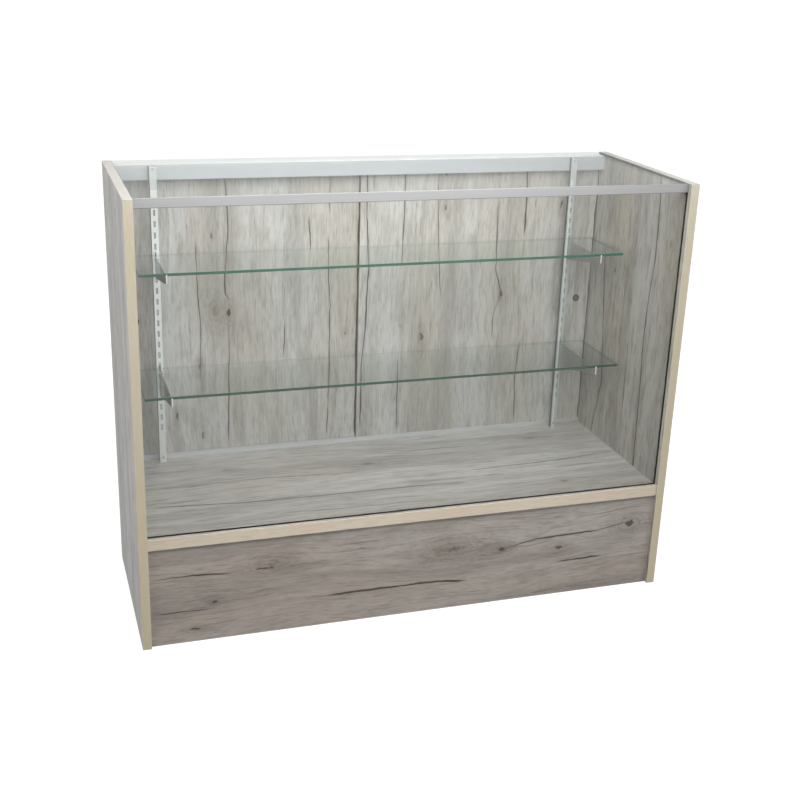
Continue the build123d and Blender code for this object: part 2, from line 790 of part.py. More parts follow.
# Feet: folded clips inside the uprights that hold them down to the deck
with BuildPart() as standard_feet:
    foot_front = upright_front + upright_wall
    for side, _ in sides:
        with BuildSketch(Plane.YZ.offset(side * upright_x)):
            with BuildLine():
                Polyline(
                    (foot_front, deck_top),
                    (foot_front, deck_top + foot_height),
                    (foot_front + foot_wall, deck_top + foot_height),
                    (foot_front + foot_wall, deck_top + foot_wall),
                    (foot_front + foot_depth, deck_top + foot_wall),
                    (foot_front + foot_depth, deck_top),
                    close=True,
                )
            make_face()
        extrude(amount=foot_width / 2, both=True)
    with BuildSketch(Plane.XZ.offset(-foot_front)):
        with Locations((-upright_x, foot_screw_z), (upright_x, foot_screw_z)):
            Circle(hole_radius)
    extrude(amount=-foot_wall, mode=Mode.SUBTRACT)
    with BuildSketch(Plane.XY.offset(deck_top)):
        with Locations((-upright_x, foot_screw_y), (upright_x, foot_screw_y)):
            Circle(hole_radius)
    extrude(amount=foot_wall, mode=Mode.SUBTRACT)
standard_feet.part.label = "standard_feet"
export_step(standard_feet.part, "parts/standard_feet.step")

# Upright screws: one through the top into the rear rail, one through the web into the
# foot, and one down through the foot into the deck
top_screw = pan_screw(upright_depth + rail_wall)
web_screw = pan_screw(upright_wall + foot_wall)
foot_screw = pan_screw(foot_wall + board_screw_bite)
with BuildPart() as standard_screws:
    for side, _ in sides:
        x = side * upright_x
        with Locations(Plane(origin=(x, upright_front, upright_screw_z), z_dir=(0, -1, 0))):
            add(top_screw)
        with Locations(Plane(origin=(x, upright_front, foot_screw_z), z_dir=(0, -1, 0))):
            add(web_screw)
        with Locations(Plane(origin=(x, foot_screw_y, deck_top + foot_wall))):
            add(foot_screw)
standard_screws.part.label = "standard_screws"
export_step(standard_screws.part, "parts/standard_screws.step")

# Shelf brackets: tapered steel blades with a stop behind the glass, a lip in front of
# it, and two hooks that drop behind the web of the upright
for level in levels:
    rest = rest_height(level)
    nose = nose_front(level)
    for side, name in sides:
        with BuildPart() as bracket:
            with BuildSketch(Plane.YZ.offset(side * upright_x)) as blade:
                with BuildLine():
                    Polyline(
                        (upright_front, rest - root_drop[level]),
                        (upright_front, rest + bracket_stop_height),
                        (upright_front - bracket_stop, rest + bracket_stop_height),
                        (upright_front - bracket_stop, rest),
                        (nose + lip, rest),
                        (nose + lip, rest + lip_height),
                        (nose, rest + lip_height),
                        (nose, rest - bracket_nose),
                        close=True,
                    )
                make_face()
                fillet(blade.vertices().group_by(Axis.X)[0].sort_by(Axis.Y)[0], bracket_nose_round)
                for index in (hook_slot[level] - 1, hook_slot[level]):
                    with Locations((upright_front, slot_bottom(index))):
                        Rectangle(
                            upright_wall + hook_play + hook_tab,
                            hook_neck,
                            align=(Align.MIN, Align.MIN),
                        )
                    with Locations((upright_front + upright_wall + hook_play, slot_bottom(index))):
                        Rectangle(hook_tab, hook_drop, align=(Align.MIN, Align.MAX))
            extrude(amount=bracket_plate / 2, both=True)
        bracket.part.label = f"{level}_{name}_bracket"
        export_step(bracket.part, f"parts/{level}_{name}_bracket.step")

# Cushions: saddles pushed over the blades near the lip and near the stop
for level in levels:
    rest = rest_height(level)
    spots = [
        (side * upright_x, y)
        for side, _ in sides
        for y in (shelf_rear - shelf_depth[level] + cushion_inset, shelf_rear - cushion_inset)
    ]
    with BuildPart() as cushions:
        with BuildSketch(Plane.XY.offset(rest - cushion_skirt)):
            with Locations(*spots):
                Rectangle(cushion_width, cushion_length)
        extrude(amount=cushion_skirt + cushion)
        with BuildSketch(Plane.XY.offset(rest - cushion_skirt)):
            with Locations(*spots):
                Rectangle(bracket_plate + 2 * cushion_play, cushion_length)
        extrude(amount=cushion_skirt, mode=Mode.SUBTRACT)
    cushions.part.label = f"{level}_shelf_cushions"
    export_step(cushions.part, f"parts/{level}_shelf_cushions.step")

# Glass shelves: loose on the cushions between the lips and the stops
for level in levels:
    with BuildPart() as shelf:
        with BuildSketch(Plane.XY.offset(rest_height(level) + cushion + seat_gap)):
            with Locations((0, shelf_rear)):
                Rectangle(shelf_length, shelf_depth[level], align=(Align.CENTER, Align.MAX))
        extrude(amount=shelf_glass)
        chamfer(shelf.edges(), glass_seam)
    shelf.part.label = f"{level}_shelf"
    export_step(shelf.part, f"parts/{level}_shelf.step")

# Sliding doors: faced hardboard, the left one in the rear groove, the right one in front
for side, name, groove in ((-1, "left", rear_groove), (1, "right", front_groove)):
    door_front = groove - door / 2
    with BuildPart() as sliding_door:
        with BuildSketch(Plane.XY.offset(door_bottom)):
            with Locations((side * door_x, groove)):
                Rectangle(door_width, door)
        extrude(amount=door_top - door_bottom)
        chamfer(sliding_door.edges().filter_by(Axis.Z), door_round)
        with BuildSketch(Plane.XZ.offset(-door_front)):
            with Locations((side * pull_x, pull_z)):
                Circle(pull_diameter / 2 + pull_play)
        extrude(amount=-door, mode=Mode.SUBTRACT)
    sliding_door.part.label = f"{name}_door"
    export_step(sliding_door.part, f"parts/{name}_door.step")

    # Finger pull: a moulded cup pressed through the door, open to the serving side
    back = Plane(origin=(side * pull_x, door_front, pull_z), x_dir=(1, 0, 0), z_dir=(0, 1, 0))
    with BuildPart() as pull:
        with BuildSketch(back):
            Circle(pull_diameter / 2)
        extrude(amount=door)
        with BuildSketch(back.offset(door)):
            Circle(pull_flange / 2)
        extrude(amount=pull_flange_height)
        with BuildSketch(back.offset(pull_floor)):
            Circle(pull_diameter / 2 - pull_wall)
        extrude(amount=door + pull_flange_height, mode=Mode.SUBTRACT)
        with BuildSketch(back):
            Circle(pull_dish / 2)
        extrude(amount=pull_dish_depth, mode=Mode.SUBTRACT)
    pull.part.label = f"{name}_door_pull"
    export_step(pull.part, f"parts/{name}_door_pull.step")
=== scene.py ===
import math

import bpy
import numpy as np
from mathutils import Matrix, Vector


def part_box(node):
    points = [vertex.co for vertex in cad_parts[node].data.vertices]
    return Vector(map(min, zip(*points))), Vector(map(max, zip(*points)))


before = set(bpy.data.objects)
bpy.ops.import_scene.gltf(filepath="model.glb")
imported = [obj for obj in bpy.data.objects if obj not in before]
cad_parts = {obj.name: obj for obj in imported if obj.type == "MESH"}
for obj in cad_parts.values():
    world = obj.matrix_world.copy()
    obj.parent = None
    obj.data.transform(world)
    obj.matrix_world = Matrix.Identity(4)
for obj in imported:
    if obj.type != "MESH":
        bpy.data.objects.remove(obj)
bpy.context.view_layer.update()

# Retail display showcase: a case of grey weathered-plank laminate with glass front and top,
# two glass shelves on slotted uprights, and two sliding doors for its back.

# Side panels. Each end of the case is a 19 mm particle board faced on both sides with a
# printed weathered-plank laminate, its grain upright. It stands on the floor on its own
# edge, and the deck, the kick panel and the rails are fixed between the two.


def seen(red, green, blue):
    """A colour as the eye reads it, 0 to 255 a channel, turned into linear light."""
    share = np.array([red, green, blue]) / 255
    linear = np.where(share > 0.04045, ((share + 0.055) / 1.055) ** 2.4, share / 12.92)
    return (*linear.tolist(), 1.0)


class Wire:
    """The output of a node; arithmetic on it writes Math nodes."""

    def __init__(self, finish, socket):
        self.finish = finish
        self.socket = socket

    def calc(self, operation, *values):
        return self.finish.node(
            "ShaderNodeMath", {"operation": operation}, dict(enumerate(values))
        )

    def __add__(self, other):
        return self.calc("ADD", self, other)

    def __radd__(self, other):
        return self.calc("ADD", other, self)

    def __sub__(self, other):
        return self.calc("SUBTRACT", self, other)

    def __rsub__(self, other):
        return self.calc("SUBTRACT", other, self)

    def __mul__(self, other):
        return self.calc("MULTIPLY", self, other)

    def __rmul__(self, other):
        return self.calc("MULTIPLY", other, self)

    def __truediv__(self, other):
        return self.calc("DIVIDE", self, other)

    def __pow__(self, other):
        return self.calc("POWER", self, other)

    def __gt__(self, other):
        return self.calc("GREATER_THAN", self, other)

    def __lt__(self, other):
        return self.calc("LESS_THAN", self, other)

    def size(self):
        return self.calc("ABSOLUTE", self)

    def wave(self):
        return self.calc("SINE", self)

    def part(self):
        """The fraction left over from whole numbers."""
        return self.calc("FRACT", self)

    def larger(self, other):
        return self.calc("MAXIMUM", self, other)

    def held(self):
        """The value kept between 0 and 1."""
        return self.finish.node("ShaderNodeClamp", {}, {"Value": self})


class Finish:
    """The nodes of one material, or of the world where owners says so."""

    def __init__(self, name, owners=bpy.data.materials):
        self.owner = owners.new(name)
        self.owner.use_nodes = True
        self.tree = self.owner.node_tree
        self.tree.nodes.clear()

    def node(self, kind, settings=None, sockets=None, out=0):
        """Any node: its type, its settings, its sockets' values or links, and the output
        that is wanted. The setting path holds the points of a Float Curve."""
        made = self.tree.nodes.new(kind)
        for key, value in (settings or {}).items():
            if key == "path":
                curve = made.mapping.curves[0]
                for point, place in zip(curve.points, (value[0], value[-1])):
                    point.location = place
                for place in value[1:-1]:
                    curve.points.new(*place)
                for point in curve.points:
                    point.handle_type = "VECTOR"
                made.mapping.update()
            else:
                setattr(made, key, value)
        for key, value in (sockets or {}).items():
            if isinstance(value, Wire):
                self.tree.links.new(value.socket, made.inputs[key])
            else:
                made.inputs[key].default_value = value
        return Wire(self, made.outputs[out]) if made.outputs else made

    def place(self):
        """The three object coordinates of a point, in metres."""
        point = self.node("ShaderNodeTexCoord", out="Object")
        return [self.node("ShaderNodeSeparateXYZ", {}, {0: point}, axis) for axis in range(3)]

    def noise(self, x, y, z, detail=2.0, roughness=0.5):
        """Cloudy noise of about 0 to 1 round 0.5, one cell for each unit of x, y and z."""
        point = self.node("ShaderNodeCombineXYZ", {}, {0: x, 1: y, 2: z})
        return self.node(
            "ShaderNodeTexNoise",
            {},
            {"Vector": point, "Scale": 1.0, "Detail": detail, "Roughness": roughness},
        )

    def mix(self, share, first, second):
        """The first colour turning into the second as share goes from 0 to 1."""
        return self.node(
            "ShaderNodeMix", {"data_type": "RGBA"}, {0: share, 6: first, 7: second}, 2
        )

    def bump(self, height, depth, strength=1.0):
        """Normals of a surface whose relief is height times depth in metres."""
        return self.node(
            "ShaderNodeBump", {}, {"Height": height, "Distance": depth, "Strength": strength}
        )

    def principled(self, **sockets):
        """A Principled surface; a socket's spaces are written as underscores."""
        named = {key.replace("_", " "): value for key, value in sockets.items()}
        return self.node("ShaderNodeBsdfPrincipled", {}, named)

    def surface(self, shader):
        """Ends the material with this shader."""
        self.node("ShaderNodeOutputMaterial", {"target": "ALL"}, {"Surface": shader})

    def coat(self, *nodes):
        """Puts this finish on CAD nodes."""
        for name in nodes:
            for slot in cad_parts[name].material_slots:
                slot.material = self.owner


def barnwood(
    name, grain, over, through, seed, tones, cracks, knots, core, gloss=0.46, fine=1.0, wear=1.0
):
    """Weathered-plank laminate. grain, over and through are the axes along the grain, across
    it on the face, and through the board. Layers of noise stretched along the grain tint
    its light tone, and bend round the knots. A crack is a ragged line through measured
    points (along, across), and a knot a rough oval at a measured point. The board's cut
    edges show its core. fine is how close the streaks lie, wear how strongly they show,
    and gloss the roughness of the bare laminate."""
    light, warm, dusk, brown, dark = tones
    finish = Finish(name)
    point = finish.place()
    along, flat = point[grain], point[over]

    # A knot's rim is at 1 on its oval. The grain is drawn aside out to about six times that.
    across = flat
    ovals = []
    shake = finish.noise(along * 90.0, flat * 130.0, seed + 6.0, 2.0) - 0.5
    for place, size, heart, halo in knots:
        first = (along - place[0]) / size[0]
        second = (flat - place[1]) / size[1]
        rim = (first * first + second * second) ** 0.5
        pull = (1.0 - rim * 0.16).held() ** 2.0
        across = across - (flat - place[1]) * pull * 0.9
        ovals.append((rim + shake * 1.6, heart, halo))
    drift = finish.noise(along * 2.2, across * 3.0, seed, 1.0)
    wander = 0.045
    across = across + (drift - 0.5) * wander

    # Each layer of noise: cells a metre across the grain and along it, its place in the
    # noise, its detail and its roughness.
    layers = {
        layer: finish.noise(across * close, along * spread, seed + shift, detail, roughness)
        for layer, close, spread, shift, detail, roughness in (
            ("zone", 7.0, 1.3, 3.1, 2.0, 0.5),
            ("plank", 21.0, 1.5, 9.7, 2.0, 0.5),
            ("cloud", 34.0, 13.0, 4.4, 3.0, 0.55),
            ("streak", 62.0 * fine, 4.0, 5.3, 3.0, 0.65),
            ("line", 165.0 * fine, 10.0, 1.9, 2.0, 0.6),
            ("fibre", 330.0 * fine, 36.0, 8.2, 2.0, 0.6),
        )
    }

    # Each tint: the layer that it follows, the noise at which it starts, how fast it comes
    # in from there, how strong it gets, and its colour.
    colour = light
    for layer, start, gain, strength, tint in (
        ("zone", 0.38, 4.0, 1.0, warm),
        ("plank", 0.47, 6.0, 0.80, dusk),
        ("cloud", 0.48, 5.0, 0.55, dusk),
        ("streak", 0.52, 5.0, 0.55 * wear, dusk),
        ("streak", 0.62, 8.0, 0.50 * wear, brown),
        ("line", 0.54, 6.0, 0.50 * wear, brown),
        ("line", 0.45, -5.0, 0.45 * wear, light),
        ("fibre", 0.50, 5.0, 0.38, brown),
        ("fibre", 0.48, -5.0, 0.32, light),
    ):
        share = ((layers[layer] - start) * gain).held() * strength
        colour = finish.mix(share, colour, tint)
    streak, line, fibre = layers["streak"], layers["line"], layers["fibre"]
    tick = ((fibre - 0.62) * 9.0).held() * ((streak - 0.54) * 9.0).held()
    colour = finish.mix(tick * 0.60, colour, dark)
    sunk = tick * 0.4

    # A crack: its middle is a curve from end to end, shaken a few millimetres to the side,
    # its width swells and closes, and it fades out over the last 1 / taper metres.
    sideways, taper, hair = 0.005, 24.0, 0.001
    ragged = (finish.noise(along * 34.0, flat * 14.0, seed + 2.6, 3.0) - 0.5) * sideways
    thick = finish.noise(along * 15.0, flat * 40.0, seed + 7.4, 2.0) * 2.6 - 0.35
    for points, width in cracks:
        low, high = points[0][0], points[-1][0]
        least = min(place[1] for place in points)
        span = max(max(place[1] for place in points) - least, hair)
        path = [((a - low) / (high - low), (b - least) / span) for a, b in points]
        share = (along - low) / (high - low)
        middle = finish.node("ShaderNodeFloatCurve", {"path": path}, {"Value": share})
        away = (flat + ragged - (middle * span + least)).size() / width
        ends = ((along - low) * taper).held() * ((high - along) * taper).held()
        deep = (1.25 - away / thick).held() * ends
        stain = (1.0 - away * 0.14).held() ** 2.0 * ends * 0.28
        colour = finish.mix(stain, colour, brown)
        colour = finish.mix((deep * 2.2).held() * 0.88, colour, dark)
        sunk = sunk.larger(deep)

    # A knot: a brown halo, growth rings that the streaks disturb, and a dark heart.
    for oval, heart, halo in ovals:
        rings = (oval * 8.0 + streak * 10.0).wave() * 0.5 + 0.5
        glow = (1.0 - oval * 0.2).held() ** 2.0 * 0.55 * halo
        colour = finish.mix(glow, colour, brown)
        colour = finish.mix((1.0 - oval * 0.28).held() * rings**2.0 * 0.65 * halo, colour, brown)
        colour = finish.mix(((0.70 - oval) * 4.0).held() * 0.9 * heart, colour, dark)

    # Where the surface doesn't face through the board, it is a cut edge of chips.
    turned = finish.node("ShaderNodeTexCoord", out="Normal")
    facing = finish.node("ShaderNodeSeparateXYZ", {}, {0: turned}, through).size()
    chip = finish.noise(point[0] * 420.0, point[1] * 420.0, point[2] * 420.0, 2.0)
    colour = finish.mix(facing < 0.5, colour, finish.mix(((chip - 0.4) * 4.0).held(), *core))
    finish.surface(
        finish.principled(
            Base_Color=colour,
            Roughness=gloss + line * 0.12 + sunk * 0.2,
            Normal=finish.bump(line * 0.4 - sunk, 0.0003, 0.3),
        )
    )
    return finish


particle_core = (seen(186, 160, 124), seen(140, 112, 80))
side_tones = {
    "left": (
        seen(182, 182, 180),
        seen(172, 168, 160),
        seen(148, 147, 145),
        seen(128, 119, 109),
        seen(66, 58, 50),
    ),
    # The right side's tones are darker than the left's, partly the print's own difference and
    # partly painted shade on its inner face.
    "right": (
        seen(172, 171, 167),
        seen(164, 158, 145),
        seen(138, 135, 129),
        seen(118, 108, 94),
        seen(58, 50, 42),
    ),
}
side_cracks = {
    "left": (
        (((0.010, -0.060), (0.300, -0.052), (0.640, -0.066), (0.955, -0.058)), 0.0011),
        (((0.120, 0.090), (0.400, 0.084), (0.700, 0.096)), 0.0009),
        (((0.420, -0.160), (0.820, -0.152)), 0.0008),
    ),
    "right": (
        (
            ((0.010, -0.104), (0.346, -0.097), (0.465, -0.093), (0.574, -0.086),
             (0.690, -0.091), (0.775, -0.101), (0.909, -0.096), (0.964, -0.088)),
            0.0024,
        ),
        (((0.200, 0.134), (0.269, 0.132), (0.409, 0.101), (0.745, 0.146)), 0.0015),
        (((0.520, 0.030), (0.700, 0.024)), 0.0008),
        (((0.300, -0.020), (0.560, -0.014)), 0.0008),
    ),
}
side_knots = {
    "left": (
        ((0.520, 0.120), (0.020, 0.008), 0.5, 0.5),
        ((0.200, -0.120), (0.016, 0.007), 0.5, 0.5),
    ),
    "right": (
        ((0.700, 0.085), (0.012, 0.005), 0.5, 0.5),
        ((0.820, -0.160), (0.018, 0.007), 0.4, 0.4),
    ),
}
for side, seed in (("left", 2.0), ("right", 11.0)):
    barnwood(
        f"{side}_side_laminate", 2, 1, 0, seed, side_tones[side],
        side_cracks[side], side_knots[side], particle_core, fine=0.45, wear=1.25,
    ).coat(f"{side}_side_panel")

# Edge bands. A 1 mm strip of cream plastic is glued over each cut edge that shows: the
# front, top and rear edges of the side panels and the front edge of the deck.
# Painted light on the upright bands: from this height down they are painted lighter and
# yellower, more so with the gain, in place of front light that the lamps don't give.
painted_light_top, painted_light_gain = 0.90, 1.4


def edge_band(name, run, seed, pale, tan, painted_light_share=0.0):
    """Plastic edge strip with a faint printed grain along axis run. Where its last argument is
    given, the strip is painted lighter and yellower from a set height down, the more so the
    lower it is at the given gain: painted light, in place of front light that the lamps don't
    give low down."""
    finish = Finish(name)
    point = finish.place()
    others = [point[axis] for axis in range(3) if axis != run]
    cross = others[0] + others[1]
    cloud = finish.noise(point[run] * 6.0, seed, cross * 8.0, 2.0)
    grain = finish.noise(point[run] * 22.0, seed + 2.0, cross * 420.0, 2.0)
    colour = finish.mix(((cloud - 0.40) * 4.0).held(), pale, tan)
    colour = finish.mix(((grain - 0.50) * 4.0).held() * 0.35, colour, seen(184, 166, 138))
    colour = finish.mix(((0.42 - grain) * 4.0).held() * 0.30, colour, seen(226, 218, 200))
    if painted_light_share:
        # Painted light: lighter and yellower toward the bottom.
        painted_light_low = ((painted_light_top - point[2]) * painted_light_gain).held() * painted_light_share
        colour = finish.mix(painted_light_low, colour, seen(246, 231, 198))
    finish.surface(
        finish.principled(
            Base_Color=colour,
            Roughness=0.38 + grain * 0.12,
            Normal=finish.bump(grain, 0.0001, 0.4),
        )
    )
    return finish


# The upright bands carry that painted light low down.
edge_band("upright_edge_band", 2, 1.0, seen(208, 202, 184), seen(206, 197, 172), 0.8).coat(
    "left_front_band", "right_front_band", "left_rear_band", "right_rear_band"
)
# The top bands are the same plastic painted darker, as painted shade that offsets the stronger
# light they get from overhead.
edge_band("top_edge_band", 1, 4.0, seen(176, 174, 168), seen(170, 166, 157)).coat(
    "left_top_band", "right_top_band"
)
# The deck band is the same plastic painted lighter, as painted light that offsets the shade it
# stands in.
edge_band("deck_edge_band", 0, 8.0, seen(254, 241, 217), seen(251, 235, 211)).coat("deck_band")

# Deck, kick panel and rear stretcher. The same faced board with its grain lengthwise: the
# display floor, the recessed front board that closes the base, and the tie at the back.
deck_tones = (
    seen(188, 187, 185),
    seen(179, 173, 165),
    seen(153, 150, 147),
    seen(126, 115, 106),
    seen(70, 62, 56),
)
barnwood(
    "deck_laminate", 0, 1, 2, 21.0, deck_tones,
    (
        (((-0.565, -0.062), (-0.364, -0.083), (-0.152, -0.087), (0.054, -0.088),
          (0.166, -0.095)), 0.0016),
        (((0.195, -0.031), (0.432, -0.022), (0.590, 0.002)), 0.0013),
        (((-0.590, 0.030), (-0.300, 0.038), (-0.060, 0.020)), 0.0009),
        (((0.080, 0.120), (0.330, 0.110)), 0.0009),
        (((-0.250, -0.160), (0.060, -0.168)), 0.0008),
    ),
    (
        ((-0.035, 0.063), (0.030, 0.010), 0.55, 0.55),
        ((0.419, 0.127), (0.016, 0.006), 0.9, 0.9),
        ((0.389, -0.141), (0.012, 0.006), 0.7, 0.7),
        ((-0.369, 0.103), (0.012, 0.005), 0.6, 0.6),
    ),
    particle_core, gloss=0.34, fine=1.3, wear=1.5,
).coat("deck_panel")

kick_tones = (
    seen(210, 203, 196),
    seen(202, 191, 180),
    seen(171, 161, 153),
    seen(135, 121, 111),
    seen(60, 49, 44),
)
barnwood(
    "kick_laminate", 0, 2, 1, 33.0, kick_tones,
    (
        (((-0.586, 0.159), (-0.500, 0.160), (-0.413, 0.155)), 0.0015),
        (((-0.587, 0.076), (-0.451, 0.075)), 0.0013),
        (((-0.206, 0.072), (-0.103, 0.072), (0.044, 0.072), (0.130, 0.064)), 0.0022),
        (((0.209, 0.134), (0.293, 0.150), (0.451, 0.154), (0.530, 0.168)), 0.0016),
        (((0.345, 0.083), (0.470, 0.086)), 0.0024),
    ),
    (
        ((-0.342, 0.157), (0.030, 0.004), 1.0, 0.4),
        ((-0.325, 0.168), (0.030, 0.012), 0.0, 0.7),
        ((0.091, 0.149), (0.040, 0.014), 0.15, 1.0),
        ((0.209, 0.134), (0.014, 0.007), 0.9, 0.9),
        ((0.353, 0.121), (0.015, 0.007), 0.75, 0.75),
        ((0.532, 0.162), (0.020, 0.012), 0.9, 1.0),
        ((-0.454, 0.091), (0.010, 0.005), 0.8, 0.8),
        ((-0.498, 0.030), (0.015, 0.004), 0.9, 0.9),
    ),
    particle_core, fine=1.4,
).coat("kick_panel")
barnwood(
    "stretcher_laminate", 0, 2, 1, 45.0, deck_tones,
    ((((-0.400, 0.190), (0.100, 0.186)), 0.0010),), (), particle_core,
).coat("rear_stretcher")

# Fastenings. Zinc-plated cams, bolts and screws, and beech dowels. The cams are die cast
# and show in the boards' undersides; the dowels are glued and hidden.


def zinc(name, scale, bright, rough):
    """Zinc plate: bright metal with a faint cloud of crystals, scale cells a metre."""
    finish = Finish(name)
    x, y, z = finish.place()
    cell = finish.node(
        "ShaderNodeTexVoronoi",
        {"feature": "F1"},
        {"Vector": finish.node("ShaderNodeCombineXYZ", {}, {0: x, 1: y, 2: z}), "Scale": scale},
        "Distance",
    )
    grit = finish.noise(x * scale * 4, y * scale * 4, z * scale * 4, 1.0)
    colour = finish.mix((cell * 1.2).held(), bright, seen(176, 180, 184))
    finish.surface(
        finish.principled(
            Base_Color=colour,
            Metallic=1.0,
            Roughness=grit * 0.12 + rough,
            Normal=finish.bump(grit, 0.00005, 0.3),
        )
    )
    return finish


zinc("fitting_zinc", 260.0, seen(206, 208, 210), 0.30).coat(
    "cam_locks", "cam_bolts", "rail_screws", "track_screws", "standard_screws",
    "front_rail_brackets", "rear_rail_brackets",
)

beech = Finish("beech")
x, y, z = beech.place()
ring = beech.noise(x * 30.0, y * 500.0, z * 500.0, 2.0)
beech.surface(
    beech.principled(
        Base_Color=beech.mix(ring, seen(214, 184, 140), seen(188, 152, 108)), Roughness=0.6
    )
)
beech.coat("wood_dowels")

# Front glass. A pane of 6 mm float glass with ground edges, let into the deck, the sides
# and the front rail: nearly colourless through its face, and dark green on its edges.
square_on = 0.04
rim_depth = 0.0006
neutral_glass = (0.950, 0.960, 0.952, 1.0)


def sheet_glass(
    name, node, rims, glare, deep, clear=(0.985, 0.988, 0.985, 1.0),
    edge=(seen(38, 96, 74), seen(72, 150, 122)),
):
    """A pane. Its face lets light straight through, tinted from clear, looked at square on,
    to deep, looked at along it. It reflects the share glare of what Schlick's rule gives:
    square_on, plus the rest times the fifth power of the slope. rims gives an axis, a
    direction and a share for each side that shows the two green colours of the edge."""
    low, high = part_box(node)
    finish = Finish(name)
    point = finish.place()
    slope = finish.node("ShaderNodeLayerWeight", {}, {"Blend": 0.5}, "Facing")
    through = finish.node(
        "ShaderNodeMixShader",
        {},
        {
            0: slope,
            1: finish.node("ShaderNodeBsdfTransparent", {}, {"Color": clear}),
            2: finish.node("ShaderNodeBsdfTransparent", {}, {"Color": deep}),
        },
    )
    mirror = finish.node("ShaderNodeBsdfGlossy", {}, {"Color": (1, 1, 1, 1), "Roughness": 0.0})
    schlick = slope**5.0 * ((1 - square_on) * glare) + square_on * glare
    face = finish.node("ShaderNodeMixShader", {}, {0: schlick, 1: through, 2: mirror})
    at_edge = 0.0
    for axis, way, share in rims:
        limit = high[axis] if way > 0 else low[axis]
        at_edge = at_edge + ((point[axis] - limit) * way > -rim_depth) * share
    wave = finish.noise(point[0] * 9.0, point[1] * 9.0, point[2] * 700.0, 1.0)
    colour = finish.mix((wave - 0.25).held(), *edge)
    side = finish.principled(Base_Color=colour, Roughness=wave * 0.1 + 0.12)
    finish.surface(finish.node("ShaderNodeMixShader", {}, {0: at_edge.held(), 1: face, 2: side}))
    return finish


sheet_glass(
    "front_pane", "front_glass", ((0, -1, 1.0), (0, 1, 1.0), (2, -1, 1.0), (2, 1, 1.0)),
    0.5, neutral_glass,
).coat("front_glass")

# Glass channels. Soft dark vinyl, extruded with a groove for the glass's edge, and pressed
# into the board and the rail round the front glass.
vinyl = Finish("dark_vinyl")
x, y, z = vinyl.place()
dust = vinyl.noise(x * 60.0, y * 60.0, z * 60.0, 3.0)
vinyl.surface(
    vinyl.principled(
        Base_Color=vinyl.mix((dust - 0.3).held(), seen(38, 40, 40), seen(66, 68, 66)),
        Roughness=dust * 0.2 + 0.45,
    )
)
vinyl.coat(
    "glass_channel_bottom", "glass_channel_top", "glass_channel_left", "glass_channel_right"
)

# Rails and track. Satin anodised aluminium extrusions, with the faint lengthwise lines of
# the die. The rails are screwed to angles on the side panels, the track to the deck.
# Height of the painted shadow line along the front rail's foot.
painted_shadow_height = 0.0012


def satin_aluminium(name, tone, metal, foot=None):
    """Anodised extrusion: fine lines along X from noise stretched that way. Where foot is
    given, a strip of the set height just above it is painted dark: a painted shadow line
    where the rail meets the glass."""
    finish = Finish(name)
    x, y, z = finish.place()
    lines = finish.noise(x * 1.5, y * 2600.0, z * 2600.0, 2.0)
    cloud = finish.noise(x * 4.0, y * 40.0, z * 40.0, 2.0)
    colour = finish.mix(((lines - 0.4) * 0.6).held(), tone, seen(232, 234, 235))
    # Painted shadow: the lowest strip of the rail's lip painted dark.
    if foot:
        colour = finish.mix((z < foot + painted_shadow_height) * 0.6, colour, seen(70, 72, 72))
    finish.surface(
        finish.principled(
            Base_Color=colour,
            Metallic=metal,
            Roughness=cloud * 0.10 + 0.38,
            Normal=finish.bump(lines, 0.00004, 0.35),
        )
    )
    return finish


satin_aluminium(
    "front_rail_aluminium", seen(158, 158, 158), 0.8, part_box("front_rail")[0].z
).coat("front_rail")
satin_aluminium("rear_rail_aluminium", seen(184, 188, 192), 0.1).coat("rear_rail")
# The track is painted lighter than the rails, partly its own pale aluminium and partly a painted
# highlight along its lip.
satin_aluminium("track_aluminium", seen(222, 223, 224), 0.6).coat("lower_track")

# Glazing tape and top glass. Pale foam tape on the two rails beds the top pane, which
# lies loose on it, level with the top of the case.
tape = Finish("glazing_tape")
x, y, z = tape.place()
foam = tape.noise(x * 900.0, y * 900.0, z * 900.0, 2.0)
tape.surface(
    tape.principled(
        Base_Color=tape.mix((foam - 0.2).held(), seen(214, 218, 216), seen(236, 238, 236)),
        Roughness=0.7,
        Normal=tape.bump(foam, 0.0001, 0.5),
    )
)
tape.coat("front_glazing_tape", "rear_glazing_tape")
sheet_glass(
    "top_pane", "top_glass", ((0, -1, 0.5), (0, 1, 0.5), (1, -1, 0.6), (1, 1, 0.2)),
    0.22, neutral_glass,
    edge=(seen(34, 62, 52), seen(58, 94, 82)),
).coat("top_glass")

# Uprights, feet and brackets. Folded steel channels with punched slots, screwed down
# through small feet, and stamped steel blades whose hooks drop behind the channels' webs.
# All are zinc plated.
standard_middle, standard_front = 0.5055, 0.1815
face_skin, inner_half = 0.0006, 0.0069
slot_foot, slot_pitch, slot_half, slot_tall = 0.341, 0.0254, 0.0016, 0.012
slots = 22
slot_head = slot_foot + (slots - 1) * slot_pitch + slot_tall
# Width of the painted shade round each slot.
slot_shade_margin = 0.0005
# Place and half width of the painted highlight line, the edge of the painted shade on the left
# flank, and the height above which the tops are painted in the shade tone.
highlight_middle, highlight_half, painted_flank_edge, painted_shade_above = -0.0030, 0.0022, -0.0078, 0.905
upright_zinc = Finish("upright_zinc")
x, y, z = upright_zinc.place()
on_right = x > 0.0
aside = (x.size() - standard_middle).size()
